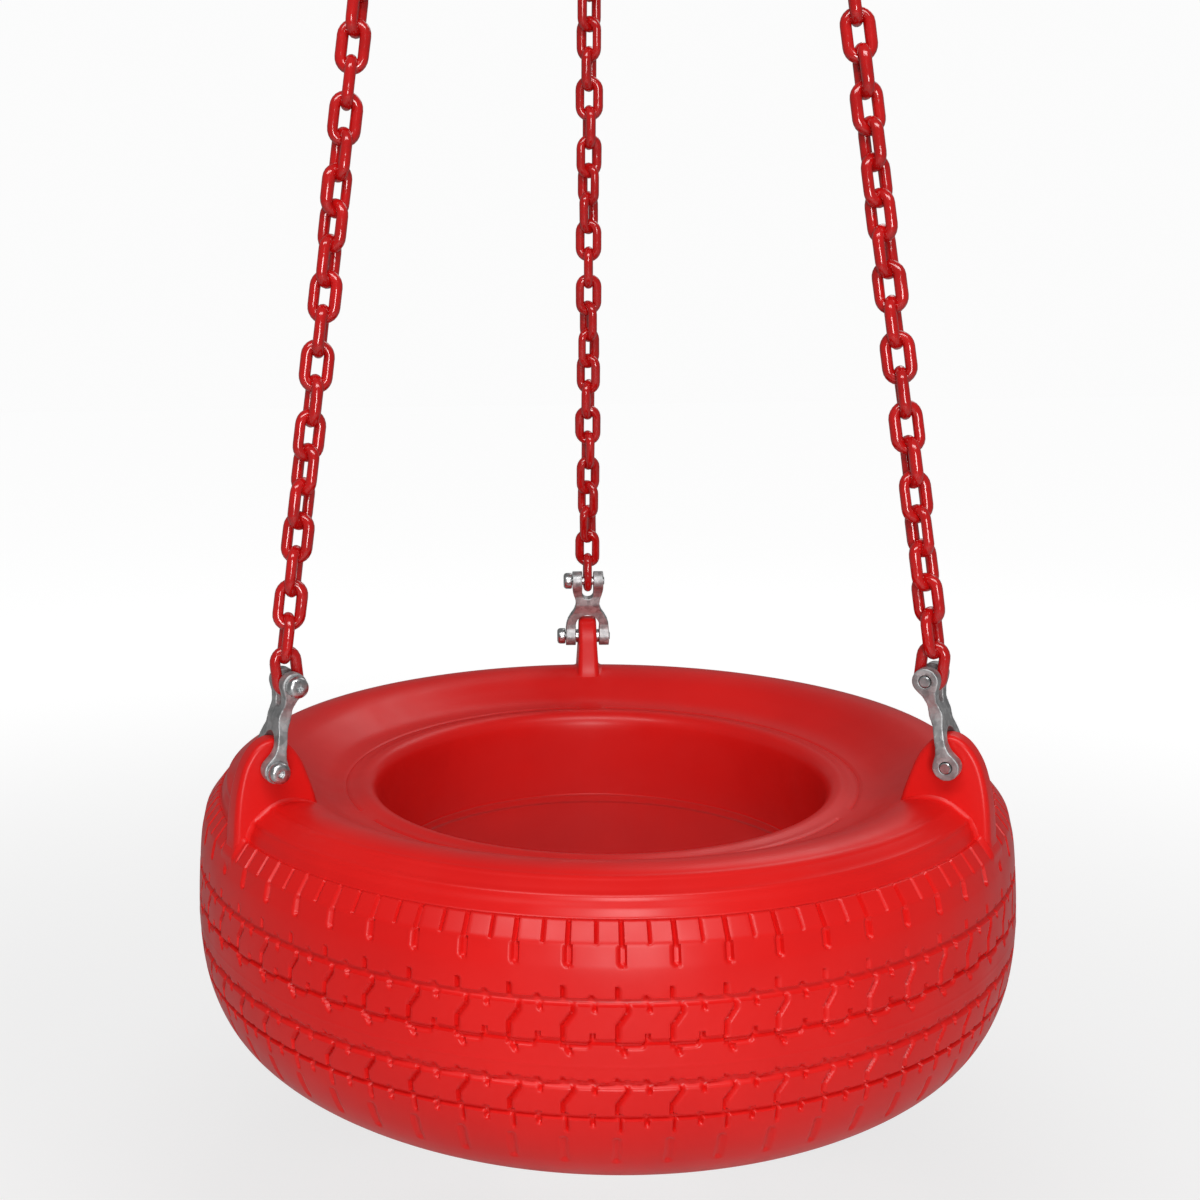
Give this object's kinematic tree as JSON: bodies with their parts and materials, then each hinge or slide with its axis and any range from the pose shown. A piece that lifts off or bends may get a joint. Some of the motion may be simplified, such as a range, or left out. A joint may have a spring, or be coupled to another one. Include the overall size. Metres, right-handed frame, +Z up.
{
  "type": "tire swing",
  "caption": "Moulded tire-shaped swing seat hung by chains and shackles from a spinning hub on a two-way knuckle under a beam bracket.",
  "frame": {"origin": "centre of the beam bracket's top face, which bolts against the underside of a beam", "axes": "+Z up, out of the mounting face into the beam; +X along the upper knuckle pin; +Y towards the rear lug; the front of the swing faces -Y"},
  "size_m": [0.644, 0.6438, 1.821],
  "materials": {
    "seat_red": "semi-gloss rotationally moulded polyethylene",
    "chain_red": "glossy red plastisol coating over steel",
    "galvanised": "mottled hot-dip galvanised",
    "zinc": "bright zinc plated",
    "bronze": "oiled sintered bronze",
    "bearing_steel": "ground",
    "nylon": "satin",
    "seal_rubber": "matte"
  },
  "bodies": {
    "mount": {"beam_bracket": "galvanised", "upper_pin": "zinc", "upper_pin_washer": "zinc", "upper_pin_nut": "zinc", "upper_split_pin": "zinc"},
    "knuckle": {"knuckle": "galvanised", "upper_knuckle_bush": "bronze", "lower_knuckle_bush": "bronze", "upper_thrust_washers": "nylon", "lower_thrust_washers": "nylon"},
    "stem": {"swivel_stem": "galvanised", "lower_pin": "zinc", "lower_pin_washer": "zinc", "lower_pin_nut": "zinc", "lower_split_pin": "zinc", "lower_race": "bearing_steel", "spindle_washer": "zinc", "castle_nut": "zinc", "spindle_split_pin": "zinc"},
    "bearing": {"ball_cage": "bronze", "bearing_balls": "bearing_steel"},
    "seat": {"hub": "galvanised", "upper_hub_bush": "bronze", "lower_hub_bush": "bronze", "upper_race": "bearing_steel", "hub_seal": "seal_rubber", "grease_nipple": "zinc", "dust_cap": "galvanised", "cap_screws": "zinc", "hub_ear_bushes": "zinc", "hub_ear_pins": "zinc", "top_shackle_rear": "galvanised", "top_shackle_left": "galvanised", "top_shackle_right": "galvanised", "top_chain_pins": "zinc", "chain_rear": "chain_red", "chain_left": "chain_red", "chain_right": "chain_red", "bottom_chain_pins": "zinc", "bottom_shackle_rear": "galvanised", "bottom_shackle_left": "galvanised", "bottom_shackle_right": "galvanised", "lug_pins": "zinc", "lug_bushes": "zinc", "tire_shell": "seat_red"}
  },
  "joints": [
    {"name": "swing_fore_aft", "type": "hinge", "parent": "mount", "child": "knuckle", "pos_m": [0, 0, -0.042], "axis": [1, 0, 0], "range_deg": [-20, 20]},
    {"name": "swing_sideways", "type": "hinge", "parent": "knuckle", "child": "stem", "pos_m": [0, 0, -0.09], "axis": [0, 1, 0], "range_deg": [-20, 20]},
    {"name": "seat_spin", "type": "hinge", "parent": "stem", "child": "seat", "pos_m": [0, 0, -0.18], "axis": [0, 0, 1], "continuous": true},
    {"name": "bearing_roll", "type": "hinge", "parent": "stem", "child": "bearing", "pos_m": [0, 0, -0.1921], "axis": [0, 0, 1], "continuous": true}
  ],
  "couplings": [
    {"joint": "bearing_roll", "follows": "seat_spin", "ratio": 0.5}
  ]
}
